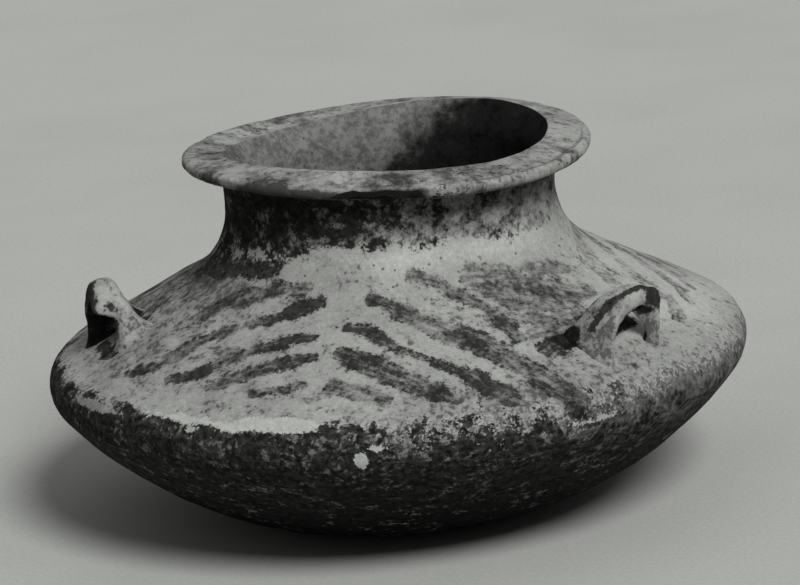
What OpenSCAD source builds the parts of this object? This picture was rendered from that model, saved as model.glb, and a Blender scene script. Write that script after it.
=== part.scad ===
// Squat pottery jar with a sharp belly, a short hollow neck, a flat ledge rim and three arched lugs.
// Each piece is one that the potter formed by itself and luted to its neighbour with wet clay.
// The jar stands on the XY plane, its axis is Z, and one lug lies on the +Y side.

/* [Body] */
// Greatest diameter, at the belly
body_d = 240; // [200:1:300]
// Height of the widest line above the table, as a share of the jar's height
belly_share = 0.4085; // [0.36:0.005:0.46]
// Rounding of the belly's edge
belly_round = 10; // [10:0.5:14]
// Diameter of the worn flat that the jar stands on
base_d = 72; // [50:1:90]
// Radius of the bowl's curved wall
bowl_curve = 125; // [110:1:160]
// Thickness of the walls of bowl, shoulder and neck
wall = 7; // [5:0.25:9]
// Thickness of the floor
floor_t = 9; // [8:0.25:14]
// Tilt of the seam between bowl and shoulder, in degrees: it falls towards the axis
seam_tilt = 20; // [0:1:40]
// Radius of the hollow face of the coil pressed into the seam inside
coil_round = 12; // [8:0.5:16]

/* [Neck] */
// Outside diameter of the neck
neck_d = 113; // [100:1:122]
// Radius of the hollow curve from shoulder to neck
neck_sweep = 28; // [20:0.5:32]
// Height of the neck's upright part, between that curve and the rim
neck_upright = 7.75; // [4:0.25:12]
// Tilt of the seat that the neck stands in, in degrees: it falls towards the axis
neck_tilt = 32; // [15:1:45]

/* [Rim] */
// Height of the rim's highest line above the table
jar_h = 128.5; // [116:0.5:142]
// Outside diameter of the ledge
rim_d = 139; // [134:1:160]
// Thickness of the ledge at its lip
lip_t = 4.2; // [3:0.1:6]
// Fall of the ledge's top towards the lip, in degrees
ledge_fall = 6; // [0:0.5:9]
// Slope of the ledge's underside, in degrees
under_slope = 18; // [8:0.5:22]
// Rounding of the mouth's inner edge
mouth_round = 6; // [4:0.25:8]
// Radius of the hollow curve between the neck and the ledge's underside
root_round = 3.5; // [2:0.25:4]

/* [Lugs] */
// Direction of the right lug about the axis, in degrees from +X
right_lug_azimuth = 331.5; // [320:0.5:340]
// Direction of the left lug about the axis, in degrees from +X
left_lug_azimuth = 206; // [200:0.5:220]
// Direction of the back lug about the axis, in degrees from +X
back_lug_azimuth = 90; // [80:0.5:100]
// Distance of the right lug's outer face in from the belly's widest line
right_lug_inset = 13; // [10:0.5:22]
// Distance of the left lug's outer face in from the belly's widest line
left_lug_inset = 15.5; // [10:0.5:22]
// Distance of the back lug's outer face in from the belly's widest line
back_lug_inset = 14; // [10:0.5:22]
// Clear width of the opening under a lug
opening_w = 15; // [11:0.5:18]
// Clear height of the opening under the right lug
right_opening_h = 15; // [11:0.5:20]
// Clear height of the opening under the left lug
left_opening_h = 17.5; // [11:0.5:20]
// Clear height of the opening under the back lug
back_opening_h = 16; // [11:0.5:20]
// Thickness of the strap at the top of its arch
strap_t = 8; // [5:0.25:10]
// Thickness of the strap at its feet
foot_t = 6.5; // [5:0.25:10]
// Width of the strap at the top of its arch, measured outwards from the axis
strap_w = 10; // [7:0.25:14]
// Width of the strap at its feet, measured outwards from the axis
foot_w = 27; // [16:0.5:30]
// Outward lean of a lug's outer face from upright, in degrees
lug_lean = 2; // [-5:0.5:8]

/* [Hidden] */
$fn = 120;

// Steps of the drawn arcs, in degrees, and of the lug's arch and section
arc_step = 3;
arch_step = 9;
section_sides = 20;
// Squareness of the strap's section: 1 is an oval, and less is closer to a rounded box
section_power = 0.75;
// Points nearer than this are one point
same_point = 0.001;

belly_r = body_d / 2;
belly_z = belly_share * jar_h;
base_r = base_d / 2;
neck_r = neck_d / 2;
neck_in_r = neck_r - wall;
rim_r = rim_d / 2;
bowl_in = bowl_curve - wall;
belly_in = belly_round - wall;
sweep_in = neck_sweep + wall;

// The belly's edge is an arc about edge_c.
edge_c = [belly_r - belly_round, belly_z];

// The bowl's wall is an arc about bowl_c, from the base's edge smoothly into the belly's arc.
foot = [base_r, 0];
foot_gap = norm(edge_c - foot);
foot_dir = (edge_c - foot) / foot_gap;
foot_along = (bowl_curve ^ 2 - (bowl_curve - belly_round) ^ 2 + foot_gap ^ 2) / (2 * foot_gap);
foot_across = sqrt(bowl_curve ^ 2 - foot_along ^ 2);
bowl_c = foot + foot_along * foot_dir + foot_across * [-foot_dir.y, foot_dir.x];
foot_angle = angle_of(foot - bowl_c);
edge_angle = angle_of(edge_c - bowl_c);
floor_angle = asin((floor_t - bowl_c.y) / bowl_in);

// The ledge has a round mouth edge, a falling top, a round lip, a sloping underside and a hollow root.
lip_r = lip_t / 2;
top_angle = 90 - ledge_fall;
under_angle = under_slope - 90;
mouth_c = [neck_in_r + mouth_round, jar_h - mouth_round];
top_in = on_arc(mouth_c, mouth_round, top_angle);
lip_x = rim_r - lip_r;
lip_c = [lip_x, top_in.y - (lip_x - top_in.x) * tan(ledge_fall) - lip_r / cos(ledge_fall)];
under_out = on_arc(lip_c, lip_r, under_angle);
under_in = [neck_r, under_out.y - (under_out.x - neck_r) * tan(under_slope)];
root_c = under_in + root_round * [1, tan(under_slope) - 1 / cos(under_slope)];
rim_seat = root_c.y;

// The neck's upright part stands on the hollow curve about sweep_c.
sweep_c = [neck_r + neck_sweep, rim_seat - neck_upright];

// The shoulder is the cone between them: it leaves the belly's arc at shoulder_foot and runs smoothly
// into the hollow curve at sweep_foot.
edge_to_sweep = sweep_c - edge_c;
lean_angle = angle_of(edge_to_sweep) - acos((belly_round + neck_sweep) / norm(edge_to_sweep));
shoulder_slope = 90 - lean_angle;
slope_out = [cos(lean_angle), sin(lean_angle)];
slope_up = [-slope_out.y, slope_out.x];
shoulder_foot = edge_c + belly_round * slope_out;
sweep_foot = sweep_c - neck_sweep * slope_out;

// The coil's hollow face is an arc about coil_c, which touches the bowl and the shoulder inside.
// The last coil_feather degrees at each end are drawn straight, as an edge that isn't thinner than clay
// can be.
coil_feather = 15;
coil_line = edge_c + (belly_in - coil_round) * slope_out;
coil_along = slope_up * (coil_line - bowl_c);
coil_off = norm(coil_line - bowl_c) ^ 2 - (bowl_in - coil_round) ^ 2;
coil_c = coil_line + slope_up * (-coil_along - sqrt(coil_along ^ 2 - coil_off));
coil_angle = angle_of(coil_c - bowl_c);

// A lug's strap is lofted along an arch, which starts below the shoulder's face.
arch_half = (opening_w + foot_t) / 2;
lug_sink = 4;

function angle_of(v) = atan2(v.y, v.x);
function on_arc(c, r, a) = c + r * [cos(a), sin(a)];

// Points of the arc of radius r about c, from angle a to angle b
function arc(c, r, a, b) =
    let (n = ceil(abs(b - a) / arc_step))
    [for (i = [0 : n]) on_arc(c, r, a + (b - a) * i / n)];

// The same points without those that repeat the next one
function outline(points) = [
    for (i = [0 : len(points) - 1])
        if (norm(points[(i + 1) % len(points)] - points[i]) > same_point) points[i]
];

function unit(v) = v / norm(v);
function arch_point(a, rise) = [-arch_half * cos(a), rise * sin(a)];
function arch_normal(a, rise) = unit([-rise * cos(a), arch_half * sin(a)]);
function soft(v) = sign(v) * abs(v) ^ section_power;

// One ring of the strap's skin about the point p of the arch, in the lug's frame: x is outwards, y along.
// Its outer edge stays on the lug's face and its inner edge draws in towards the top of the arch.
function strap_ring(p, n, rise) =
    let (
        up = p.y / rise,
        wide = foot_w + (strap_w - foot_w) * up,
        thick = foot_t + (strap_t - foot_t) * up
    )
    [
        for (i = [0 : section_sides - 1])
            let (b = 360 * i / section_sides, out = soft(cos(b)) * thick / 2)
            [(soft(sin(b)) - 1) * wide / 2, p.x + n.x * out, p.y + n.y * out]
    ];
function strap_rings(rise) = concat(
    [strap_ring([-arch_half, -lug_sink], [-1, 0], rise)],
    [for (a = [0 : arch_step : 180]) strap_ring(arch_point(a, rise), arch_normal(a, rise), rise)],
    [strap_ring([arch_half, -lug_sink], [1, 0], rise)]
);

// A solid skin over rings of equal size, closed at both ends
module loft(rings) {
    sides = len(rings[0]);
    last = (len(rings) - 1) * sides;
    walls = [
        for (k = [0 : len(rings) - 2], i = [0 : sides - 1])
            let (j = (i + 1) % sides, low = k * sides, high = low + sides)
            [low + i, low + j, high + j, high + i]
    ];
    start = [for (i = [0 : sides - 1]) sides - 1 - i];
    end = [for (i = [0 : sides - 1]) last + i];
    polyhedron([for (ring = rings, p = ring) p], concat([start, end], walls), convexity = 6);
}

// Turns a half section about the jar's axis.
module turned(points) {
    rotate_extrude() polygon(outline(points));
}

// The lower body: a curved bowl with a worn flat under it and a tilted seam round its edge
module base_bowl() {
    color("#3b3b37") turned(concat(
        [[0, 0]],
        arc(bowl_c, bowl_curve, foot_angle, edge_angle),
        arc(edge_c, belly_round, edge_angle, seam_tilt),
        arc(edge_c, belly_in, seam_tilt, edge_angle),
        arc(bowl_c, bowl_in, edge_angle, coil_angle),
        arc(bowl_c, bowl_in, coil_angle, floor_angle),
        [[0, floor_t]]
    ));
}

// A coil of clay pressed into the seam inside, its face smoothed hollow
module belly_seam_coil() {
    color("#55544e") turned(concat(
        arc(bowl_c, bowl_in, coil_angle, edge_angle),
        arc(edge_c, belly_in, edge_angle, seam_tilt),
        arc(edge_c, belly_in, seam_tilt, lean_angle),
        [on_arc(coil_c, coil_round, lean_angle)],
        arc(coil_c, coil_round, lean_angle - coil_feather, coil_angle + coil_feather)
    ));
}

// The upper body: a cone with a rounded foot, curving up to the neck's seat
module shoulder() {
    color("#9a9d97") turned(concat(
        arc(edge_c, belly_round, seam_tilt, lean_angle),
        arc(sweep_c, neck_sweep, lean_angle + 180, neck_tilt + 180),
        arc(sweep_c, sweep_in, neck_tilt + 180, lean_angle + 180),
        arc(edge_c, belly_in, lean_angle, seam_tilt)
    ));
}

// The collar: a short hollow-sided ring standing in the shoulder's tilted mouth
module neck() {
    color("#2b2b27") turned(concat(
        arc(sweep_c, neck_sweep, neck_tilt + 180, 180),
        [[neck_r, rim_seat], [neck_in_r, rim_seat]],
        arc(sweep_c, sweep_in, 180, neck_tilt + 180)
    ));
}

// The ledge: a flat ring with a round lip, seated on the neck's top
module ledge_rim() {
    color("#8f938d") turned(concat(
        [[neck_in_r, rim_seat]],
        arc(mouth_c, mouth_round, 180, top_angle),
        arc(lip_c, lip_r, top_angle, under_angle),
        arc(root_c, root_round, 90 + under_slope, 180)
    ));
}

// An arched strap that stands across the slope with an upright face, its long feet cut to the shoulder
module lug(azimuth, inset, opening_h) {
    face_r = belly_r - inset;
    face_z = shoulder_foot.y + (shoulder_foot.x - face_r) * tan(shoulder_slope);
    color("#868983") rotate(azimuth) difference() {
        translate([face_r, 0, face_z]) rotate([0, lug_lean, 0])
            loft(strap_rings(opening_h + strap_t / 2));
        rotate_extrude() polygon([[0, 0], [belly_r, 0], [belly_r, shoulder_foot.y], shoulder_foot,
            sweep_foot, [0, sweep_foot.y]]);
    }
}

base_bowl();
belly_seam_coil();
shoulder();
neck();
ledge_rim();
lug(right_lug_azimuth, right_lug_inset, right_opening_h);  // right_lug
lug(left_lug_azimuth, left_lug_inset, left_opening_h);  // left_lug
lug(back_lug_azimuth, back_lug_inset, back_opening_h);  // back_lug
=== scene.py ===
# %% [markdown]
# # A squat pottery jar with three lugs
#
# The jar was built by hand from a bowl, a cone for the shoulder, a collar and a flat rim, with three
# arched lugs pressed onto the shoulder. A pale slip was brushed over the upper half and painted with
# fans of dark strokes. Wear, chips and pits came later. This lesson dresses the exact CAD solids with
# that handwork. Each step says what the real thing is and how it is made here.

# %% Load the frame
from math import cos, pi, radians, sin

import bmesh
import bpy
import numpy as np
from mathutils import Matrix, Vector, noise


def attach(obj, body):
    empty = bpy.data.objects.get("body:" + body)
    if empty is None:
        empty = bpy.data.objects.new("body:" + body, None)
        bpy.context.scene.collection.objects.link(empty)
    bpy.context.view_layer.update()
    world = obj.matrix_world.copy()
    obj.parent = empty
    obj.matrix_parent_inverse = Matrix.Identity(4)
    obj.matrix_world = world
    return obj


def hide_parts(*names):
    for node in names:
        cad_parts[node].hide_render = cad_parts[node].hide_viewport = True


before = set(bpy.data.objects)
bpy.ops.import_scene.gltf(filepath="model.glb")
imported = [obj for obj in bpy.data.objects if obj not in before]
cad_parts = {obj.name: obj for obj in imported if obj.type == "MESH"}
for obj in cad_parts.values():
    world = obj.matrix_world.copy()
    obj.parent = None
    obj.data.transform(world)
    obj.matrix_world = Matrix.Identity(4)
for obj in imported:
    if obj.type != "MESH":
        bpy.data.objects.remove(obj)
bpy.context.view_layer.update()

MM = 0.001
WALL_PIECES = ("base_bowl", "belly_seam_coil", "shoulder", "neck", "ledge_rim")
LUG_PIECES = ("right_lug", "left_lug", "back_lug")

# %% [markdown]
# ## Camera
#
# The picture was taken from a little above the rim and a little to one side of the jar's own front, with
# a long lens, and the jar leans slightly in the frame. A long lens keeps the ellipses of rim and belly
# flat, so the focal length matters as much as the angle. The camera looks past the jar's middle instead of
# being shifted, and is then rolled about its own axis.

# %% Camera
VIEW_AZIMUTH = radians(15)
VIEW_ELEVATION = radians(15.3)
VIEW_ROLL = radians(4.9)
VIEW_DISTANCE = 1.3832
LOOK_HEIGHT = 49.45 * MM
AIM_RIGHT, AIM_UP = 2.42 * MM, 23.4 * MM
LENS_MM, SENSOR_MM = 180, 36

to_camera = Vector((sin(VIEW_AZIMUTH) * cos(VIEW_ELEVATION),
                    -cos(VIEW_AZIMUTH) * cos(VIEW_ELEVATION), sin(VIEW_ELEVATION)))
view_turn = to_camera.to_track_quat("Z", "Y").to_matrix()
view_right, view_up = view_turn.col[0].copy(), view_turn.col[1].copy()
middle = Vector((0, 0, LOOK_HEIGHT))
aim = middle + AIM_RIGHT * view_right + AIM_UP * view_up
stand = middle + VIEW_DISTANCE * to_camera

camera_data = bpy.data.cameras.new("camera")
camera_data.lens = LENS_MM
camera_data.sensor_width = SENSOR_MM
camera_data.sensor_fit = "HORIZONTAL"
camera = bpy.data.objects.new("camera", camera_data)
bpy.context.collection.objects.link(camera)
rolled = (stand - aim).to_track_quat("Z", "Y").to_matrix() @ Matrix.Rotation(-VIEW_ROLL, 3, "Z")
camera.matrix_world = Matrix.Translation(stand) @ rolled.to_4x4()
bpy.context.scene.camera = camera
bpy.context.scene.view_settings.view_transform = "Standard"
print("camera at", [round(value, 3) for value in camera.location])

# %% [markdown]
# ## Light
#
# Soft daylight came from the front and a little from the right, so the shadow lies under the bowl and
# reaches out to the left. A sun lamp with a wide angle gives that soft edge and the same strength
# everywhere. The world is bright overhead and almost dark at the horizon, like a room with a high window,
# and this leaves the ground under the bowl black.

# %% Light
SUN_FROM_RIGHT = radians(22)
SUN_HEIGHT = radians(41)
SUN_STRENGTH = 3.2
SUN_SOFTNESS = radians(20)
FILL_HORIZON, FILL_OVERHEAD = 0.03, 0.44

sun_bearing = VIEW_AZIMUTH - pi / 2 + SUN_FROM_RIGHT
to_sun = Vector((cos(sun_bearing) * cos(SUN_HEIGHT), sin(sun_bearing) * cos(SUN_HEIGHT), sin(SUN_HEIGHT)))
sun_data = bpy.data.lights.new("window_light", "SUN")
sun_data.energy = SUN_STRENGTH
sun_data.angle = SUN_SOFTNESS
sun = bpy.data.objects.new("window_light", sun_data)
sun.rotation_euler = to_sun.to_track_quat("Z", "Y").to_euler()
bpy.context.collection.objects.link(sun)

world = bpy.data.worlds.new("studio")
world.use_nodes = True
nodes, links = world.node_tree.nodes, world.node_tree.links
direction = nodes.new("ShaderNodeTexCoord")
upward = nodes.new("ShaderNodeSeparateXYZ")
fill = nodes.new("ShaderNodeMapRange")
fill.inputs["To Min"].default_value = FILL_HORIZON
fill.inputs["To Max"].default_value = FILL_OVERHEAD
links.new(direction.outputs["Generated"], upward.inputs[0])
links.new(upward.outputs["Z"], fill.inputs["Value"])
links.new(fill.outputs["Result"], nodes["Background"].inputs["Strength"])
nodes["Background"].inputs["Color"].default_value = (1, 1, 1, 1)
bpy.context.scene.world = world
print("sun from", [round(value, 2) for value in to_sun])

# %% [markdown]
# ## A short hand for shader nodes
#
# Every finish below is made of the same few nodes: an attribute that the mesh carries, noise, and maths
# on them. They could be wired by hand in the node editor, but a small class keeps such a tree readable: each
# call adds a node or two, links what it is given and returns the output.

# %% Node helper
NOISE_GAIN, NOISE_MIDDLE = 19, 0.5
NOISE_STRIDE, CELL_STRIDE = (61.7, 23.9, 41.3), (37.1, 53.3, 19.7)
MIX_FACTOR, MIX_FIRST, MIX_SECOND, MIX_COLOUR = 0, 6, 7, 2


class Finish:
    """Builds one node tree; every method adds nodes and returns an output, and add returns the node"""

    def __init__(self, tree):
        self.tree = tree

    def add(self, kind, values=(), **settings):
        node = self.tree.nodes.new(kind)
        for name, value in settings.items():
            setattr(node, name, value)
        for key, value in dict(values).items():
            if isinstance(value, bpy.types.NodeSocket):
                self.tree.links.new(value, node.inputs[key])
            else:
                node.inputs[key].default_value = value
        return node

    def attribute(self, name):
        return self.add("ShaderNodeAttribute", attribute_name=name).outputs["Fac"]

    def millimetres(self, stretch=(1, 1, 1)):
        place = self.add("ShaderNodeTexCoord").outputs["Object"]
        factor = [value / MM for value in stretch]
        return self.add("ShaderNodeVectorMath", {0: place, 1: factor}, operation="MULTIPLY").outputs[0]

    def shifted(self, place, seed, stride):
        """The place moved by a number of strides, which gives each seed a pattern of its own"""
        move = [seed * step for step in stride]
        return self.add("ShaderNodeVectorMath", {0: place, 1: move}).outputs[0]

    def noise(self, place, size, detail=4, rough=0.55, seed=0):
        moved = self.shifted(place, seed, NOISE_STRIDE)
        values = {"Vector": moved, "Scale": 1 / size, "Detail": detail, "Roughness": rough}
        return self.add("ShaderNodeTexNoise", values).outputs["Fac"]

    def uneven(self, place, size, detail=10, rough=0.75, seed=0):
        """Rough noise about zero, in units of its own spread"""
        value = self.noise(place, size, detail, rough, seed)
        return self.maths("MULTIPLY", self.maths("SUBTRACT", value, NOISE_MIDDLE), NOISE_GAIN)

    def cells(self, place, size, seed=0):
        """A node whose outputs are the distance from the nearest cell's middle and that cell's colour"""
        moved = self.shifted(place, seed, CELL_STRIDE)
        return self.add("ShaderNodeTexVoronoi", {"Vector": moved, "Scale": 1 / size})

    def maths(self, operation, first, second):
        return self.add("ShaderNodeMath", {0: first, 1: second}, operation=operation).outputs[0]

    def product(self, first, *others):
        for other in others:
            first = self.maths("MULTIPLY", first, other)
        return first

    def total(self, first, *others):
        for other in others:
            first = self.maths("ADD", first, other)
        return first

    def weigh(self, *pairs):
        """The sum of some values, each times its weight"""
        return self.total(*(self.product(value, weight) for value, weight in pairs))

    def between(self, value, low, high):
        return self.maths("MINIMUM", self.maths("MAXIMUM", value, low), high)

    def step(self, value, low, high, out_low=0.0, out_high=1.0):
        """From one level to another, smoothly, while the value goes from low to high"""
        values = {"Value": value, "From Min": low, "From Max": high, "To Min": out_low, "To Max": out_high}
        return self.add("ShaderNodeMapRange", values, interpolation_type="SMOOTHSTEP").outputs[0]

    def mix(self, factor, first, second):
        """The second colour over the first, as thick as the factor says"""
        values = {MIX_FACTOR: factor, MIX_FIRST: first, MIX_SECOND: second}
        return self.add("ShaderNodeMix", values, data_type="RGBA").outputs[MIX_COLOUR]

    def tone(self, colour, factor):
        """The colour, made lighter or darker by a factor"""
        return self.add("ShaderNodeVectorMath", {0: colour, "Scale": factor}, operation="SCALE").outputs[0]


def grey(level, green=1.02, blue=0.97):
    """The print's slightly green grey at a linear level"""
    return (level, level * green, level * blue, 1)


print("node helper ready")

# %% [markdown]
# ## Floor
#
# The jar stands on a pale, matt floor that runs out of the picture on all sides. It is one large plane with
# a faint grain, because a pale background should come from its colour and not from more light.

# %% Floor
FLOOR_HALF = 4.0
FLOOR_GREY = 0.415
GRAIN_MM, GRAIN_RANGE, GRAIN_TONE = 1.6, (0.25, 0.75), (0.93, 1.07)
PATCH_MM, CLOUD_RANGE, PATCH_TONE = 120, (0.3, 0.7), (0.97, 1.03)

floor_mesh = bpy.data.meshes.new("floor")
corners = [(-FLOOR_HALF, -FLOOR_HALF, 0), (FLOOR_HALF, -FLOOR_HALF, 0),
           (FLOOR_HALF, FLOOR_HALF, 0), (-FLOOR_HALF, FLOOR_HALF, 0)]
floor_mesh.from_pydata(corners, [], [(0, 1, 2, 3)])
floor = bpy.data.objects.new("floor", floor_mesh)
bpy.context.collection.objects.link(floor)

floor_look = bpy.data.materials.new("floor_plaster")
floor_look.use_nodes = True
tree = Finish(floor_look.node_tree)
place = tree.millimetres()
grain = tree.step(tree.noise(place, GRAIN_MM, detail=3, rough=0.7), *GRAIN_RANGE, *GRAIN_TONE)
patchy = tree.step(tree.noise(place, PATCH_MM, detail=3, seed=1), *CLOUD_RANGE, *PATCH_TONE)
shader = floor_look.node_tree.nodes["Principled BSDF"]
shader.inputs["Roughness"].default_value = 1
shader.inputs["Specular IOR Level"].default_value = 0
colour = tree.tone(grey(FLOOR_GREY)[:3], tree.product(grain, patchy))
floor_look.node_tree.links.new(colour, shader.inputs["Base Color"])
floor_mesh.materials.append(floor_look)
print("floor", 2 * FLOOR_HALF, "m wide")

# %% [markdown]
# ## Half sections from the solids
#
# Bowl, shoulder, neck, rim and the coil inside are all bodies of revolution. Their exact outlines are
# already in the frame: the edges of each solid that lie in one half plane beside the axis form the half
# section. Reading them from the mesh saves typing the sizes a second time, and keeps the dressed pieces
# true to the solids.

# %% Read the half sections
ON_PLANE = 1e-6


def half_section(node):
    """The solid's outline beside the axis, as (radius, height) points in mm, in order and anticlockwise"""
    solid = bmesh.new()
    solid.from_mesh(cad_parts[node].data)
    bmesh.ops.remove_doubles(solid, verts=solid.verts, dist=ON_PLANE)
    beside = {}
    for edge in solid.edges:
        if all(abs(v.co.y) < ON_PLANE and v.co.x > ON_PLANE for v in edge.verts):
            first, second = edge.verts
            beside.setdefault(first, []).append(second)
            beside.setdefault(second, []).append(first)
    ends = [v for v in beside if len(beside[v]) == 1]
    walk = [min(ends or beside, key=lambda v: (v.co.z, v.co.x))]
    while True:
        onward = [v for v in beside[walk[-1]] if v not in walk[-2:] and v is not walk[0]]
        if not onward:
            break
        walk.append(onward[0])
    points = [(v.co.x / MM, v.co.z / MM) for v in walk]
    if ends:
        points = [(0.0, points[0][1])] + points + [(0.0, points[-1][1])]
    solid.free()
    points = np.array(points)
    following = np.roll(points, -1, axis=0)
    area = np.sum(points[:, 0] * following[:, 1] - following[:, 0] * points[:, 1])
    return points if area > 0 else points[::-1]


sections = {node: half_section(node) for node in WALL_PIECES}
for node, points in sections.items():
    print(node, len(points), "outline points, radius to", round(points[:, 0].max(), 1), "mm")

# %% [markdown]
# ## Smooth runs
#
# An outline has hard corners only at the seams, where two pieces meet. Between the corners it is one
# smooth run, drawn in the solid with short straight steps. Each run is sampled again on a smooth curve
# through its points, closely on the outside, where the eye goes, and more widely inside.

# %% Split and resample the outlines
CORNER = radians(20)
OUTSIDE_STEP, INSIDE_STEP, SEAT_STEP = 0.85, 2.0, 2.5
SEAT_TOUCH, SEAT_SHARE = 0.05, 0.6
ON_AXIS = 0.01


def smooth_run(points, step):
    """Even points, about a step apart, on a smooth curve through the run, with their outward normals"""
    gaps = np.linalg.norm(np.diff(points, axis=0), axis=1)
    along = np.concatenate([[0], np.cumsum(gaps)])
    slopes = np.gradient(points, along, axis=0)
    wanted = np.linspace(0, along[-1], max(2, int(round(along[-1] / step)) + 1))
    i = np.clip(np.searchsorted(along, wanted, "right") - 1, 0, len(gaps) - 1)
    gap = gaps[i][:, None]
    t = (wanted - along[i])[:, None] / gap
    curve = ((1 + 2 * t) * (1 - t) ** 2 * points[i] + t * (1 - t) ** 2 * gap * slopes[i]
             + t ** 2 * (3 - 2 * t) * points[i + 1] + t ** 2 * (t - 1) * gap * slopes[i + 1])
    way = np.gradient(curve, axis=0)
    normals = np.stack([way[:, 1], -way[:, 0]], axis=1)
    return curve, normals / np.linalg.norm(normals, axis=1)[:, None]


def runs_of(points):
    """The outline cut at its hard corners into open runs, without a run along the axis"""
    back, ahead = points - np.roll(points, 1, axis=0), np.roll(points, -1, axis=0) - points
    turn = np.arctan2(back[:, 0] * ahead[:, 1] - back[:, 1] * ahead[:, 0], np.sum(back * ahead, axis=1))
    hard = np.nonzero(np.abs(turn) > CORNER)[0]
    loop = np.vstack([points, points])
    ends = list(hard[1:]) + [hard[0] + len(points)]
    runs = [loop[first:last + 1] for first, last in zip(hard, ends)]
    return [run for run in runs if run[:, 0].max() > ON_AXIS]


def gap_to(point, outline):
    """Distance from a point to a closed outline"""
    way = np.roll(outline, -1, axis=0) - outline
    t = np.clip(np.sum((point - outline) * way, axis=1) / np.sum(way * way, axis=1), 0, 1)
    return np.min(np.linalg.norm(outline + t[:, None] * way - point, axis=1))


def kind_of(node, run):
    """Seat where most of the run lies against another piece, or else outside or inside"""
    curve, normals = smooth_run(run, SEAT_STEP)
    others = [sections[other] for other in WALL_PIECES if other != node]
    touching = [min(gap_to(point, other) for other in others) < SEAT_TOUCH for point in curve]
    if np.mean(touching) > SEAT_SHARE:
        return "seat"
    return "outside" if np.mean(normals[:, 0] * curve[:, 0]) > 0 else "inside"


STEPS = {"outside": OUTSIDE_STEP, "inside": INSIDE_STEP, "seat": SEAT_STEP}
COARSER = {"base_bowl": 1.8, "belly_seam_coil": 1.5}
profile = {node: [(kind_of(node, run), run) for run in runs_of(sections[node])] for node in WALL_PIECES}
for node, runs in profile.items():
    print(node, [kind for kind, run in runs])

# %% [markdown]
# ## Height along the skin
#
# A potter paints along the wall, not along a plumb line. The distance up the outer wall from the widest
# line, called the climb here, places every border and stroke, however steep the wall is there.

# %% Measure the climb
OUTER_ORDER = ("base_bowl", "shoulder", "neck", "ledge_rim")


def outer_run(node):
    """The part of a piece's outline that faces out"""
    return next(run for kind, run in profile[node] if kind == "outside")


def lengths(curve):
    """How far along the curve each of its points lies"""
    return np.concatenate([[0], np.cumsum(np.linalg.norm(np.diff(curve, axis=0), axis=1))])


climb_start, height = {}, 0.0
for node in OUTER_ORDER:
    climb_start[node] = height
    height += lengths(smooth_run(outer_run(node), OUTSIDE_STEP)[0])[-1]
bowl_side = smooth_run(outer_run("base_bowl"), OUTSIDE_STEP)[0]
widest_line = lengths(bowl_side)[np.argmax(bowl_side[:, 0])]
climb_start = {node: start - widest_line for node, start in climb_start.items()}
print("climb in mm at the start of each piece:", {node: round(v, 1) for node, v in climb_start.items()})

# %% [markdown]
# ## The hand in the clay
#
# Nothing thrown or coiled by hand is quite round. The whole jar swells and dips a little, its neck stands
# about two millimetres off the middle of the body, and the rim rises and falls round the mouth. A lattice or
# a sculpting brush could do it, but a few waves in numpy are exact and repeat. Each of these large moves
# depends only on where a point is, so that neighbours stay together at their seams.

# %% Large moves
NECK_LEAN = 2.0
LEAN_FROM, LEAN_TO = 75.0, 105.0
OUT_OF_ROUND, BELLY_WAVE = 0.7, 0.6
SWELL_LOBES = ((2, 1.0, 0.6), (3, 0.6, 2.1))
WAVE_LOBES = ((2, 1.0, 1.0), (5, 0.5, 0.3))
RIM_FROM, RIM_TO = 102.0, 117.0
CREST_RADIUS, LIP_RADIUS = 56.0, 68.0
CREST_WAVE = (-0.16, 0.40, 0.45, 0.19, -2.09)
LIP_WAVE = (-0.26, -0.72, -1.30, -0.20, -1.18)
FLAT_BELOW, FREE_ABOVE = 2.0, 25.0
belly_radius = sections["base_bowl"][:, 0].max()


def ease(low, high, value):
    """From 0 at low to 1 at high, smoothly, and level beyond both"""
    t = np.clip((value - low) / (high - low), 0, 1)
    return t * t * (3 - 2 * t)


def lobes(shape, turn, parts):
    """A sum of waves round the jar; each part has a count, a share and a phase"""
    return sum(share * shape(count * turn + phase) for count, share, phase in parts)


def wave_round(view, wave):
    """A height that rises and falls once and twice round the jar; view is the angle from the camera"""
    level, near, right, near_twice, right_twice = wave
    return (level + near * np.cos(view) + right * np.sin(view)
            + near_twice * np.cos(2 * view) + right_twice * np.sin(2 * view))


def shaped(points):
    """The large hand-made departures from a true turned form"""
    x, y, z = points.T
    turn = np.arctan2(y, x)
    free, up_the_neck = ease(FLAT_BELOW, FREE_ABOVE, z), ease(LEAN_FROM, LEAN_TO, z)
    swell = 1 + free * OUT_OF_ROUND / belly_radius * lobes(np.cos, turn, SWELL_LOBES)
    wave = BELLY_WAVE * free * (1 - up_the_neck) * lobes(np.sin, turn, WAVE_LOBES)
    view = turn - VIEW_AZIMUTH + pi / 2
    out = ease(CREST_RADIUS, LIP_RADIUS, np.hypot(x, y))
    warp = (1 - out) * wave_round(view, CREST_WAVE) + out * wave_round(view, LIP_WAVE)
    lean = NECK_LEAN * up_the_neck
    moved_x = x * swell + lean * cos(VIEW_AZIMUTH)
    moved_y = y * swell + lean * sin(VIEW_AZIMUTH)
    return np.stack([moved_x, moved_y, z + wave + warp * ease(RIM_FROM, RIM_TO, z)], axis=1)


print("belly of", round(belly_radius, 1), "mm radius, out of round by about", OUT_OF_ROUND, "mm")

# %% [markdown]
# ## Dents, scrapes and pits
#
# Every wall has shallow dents from the fingers, scrape marks that run round it, and pits where grit burnt or
# fell out. They push the skin along its normal. Smooth noise of several sizes makes the dents, the same
# noise drawn out round the jar makes the scrapes, and a seeded draw scatters the pits over the outer wall,
# so that every run gives the same jar.

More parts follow.
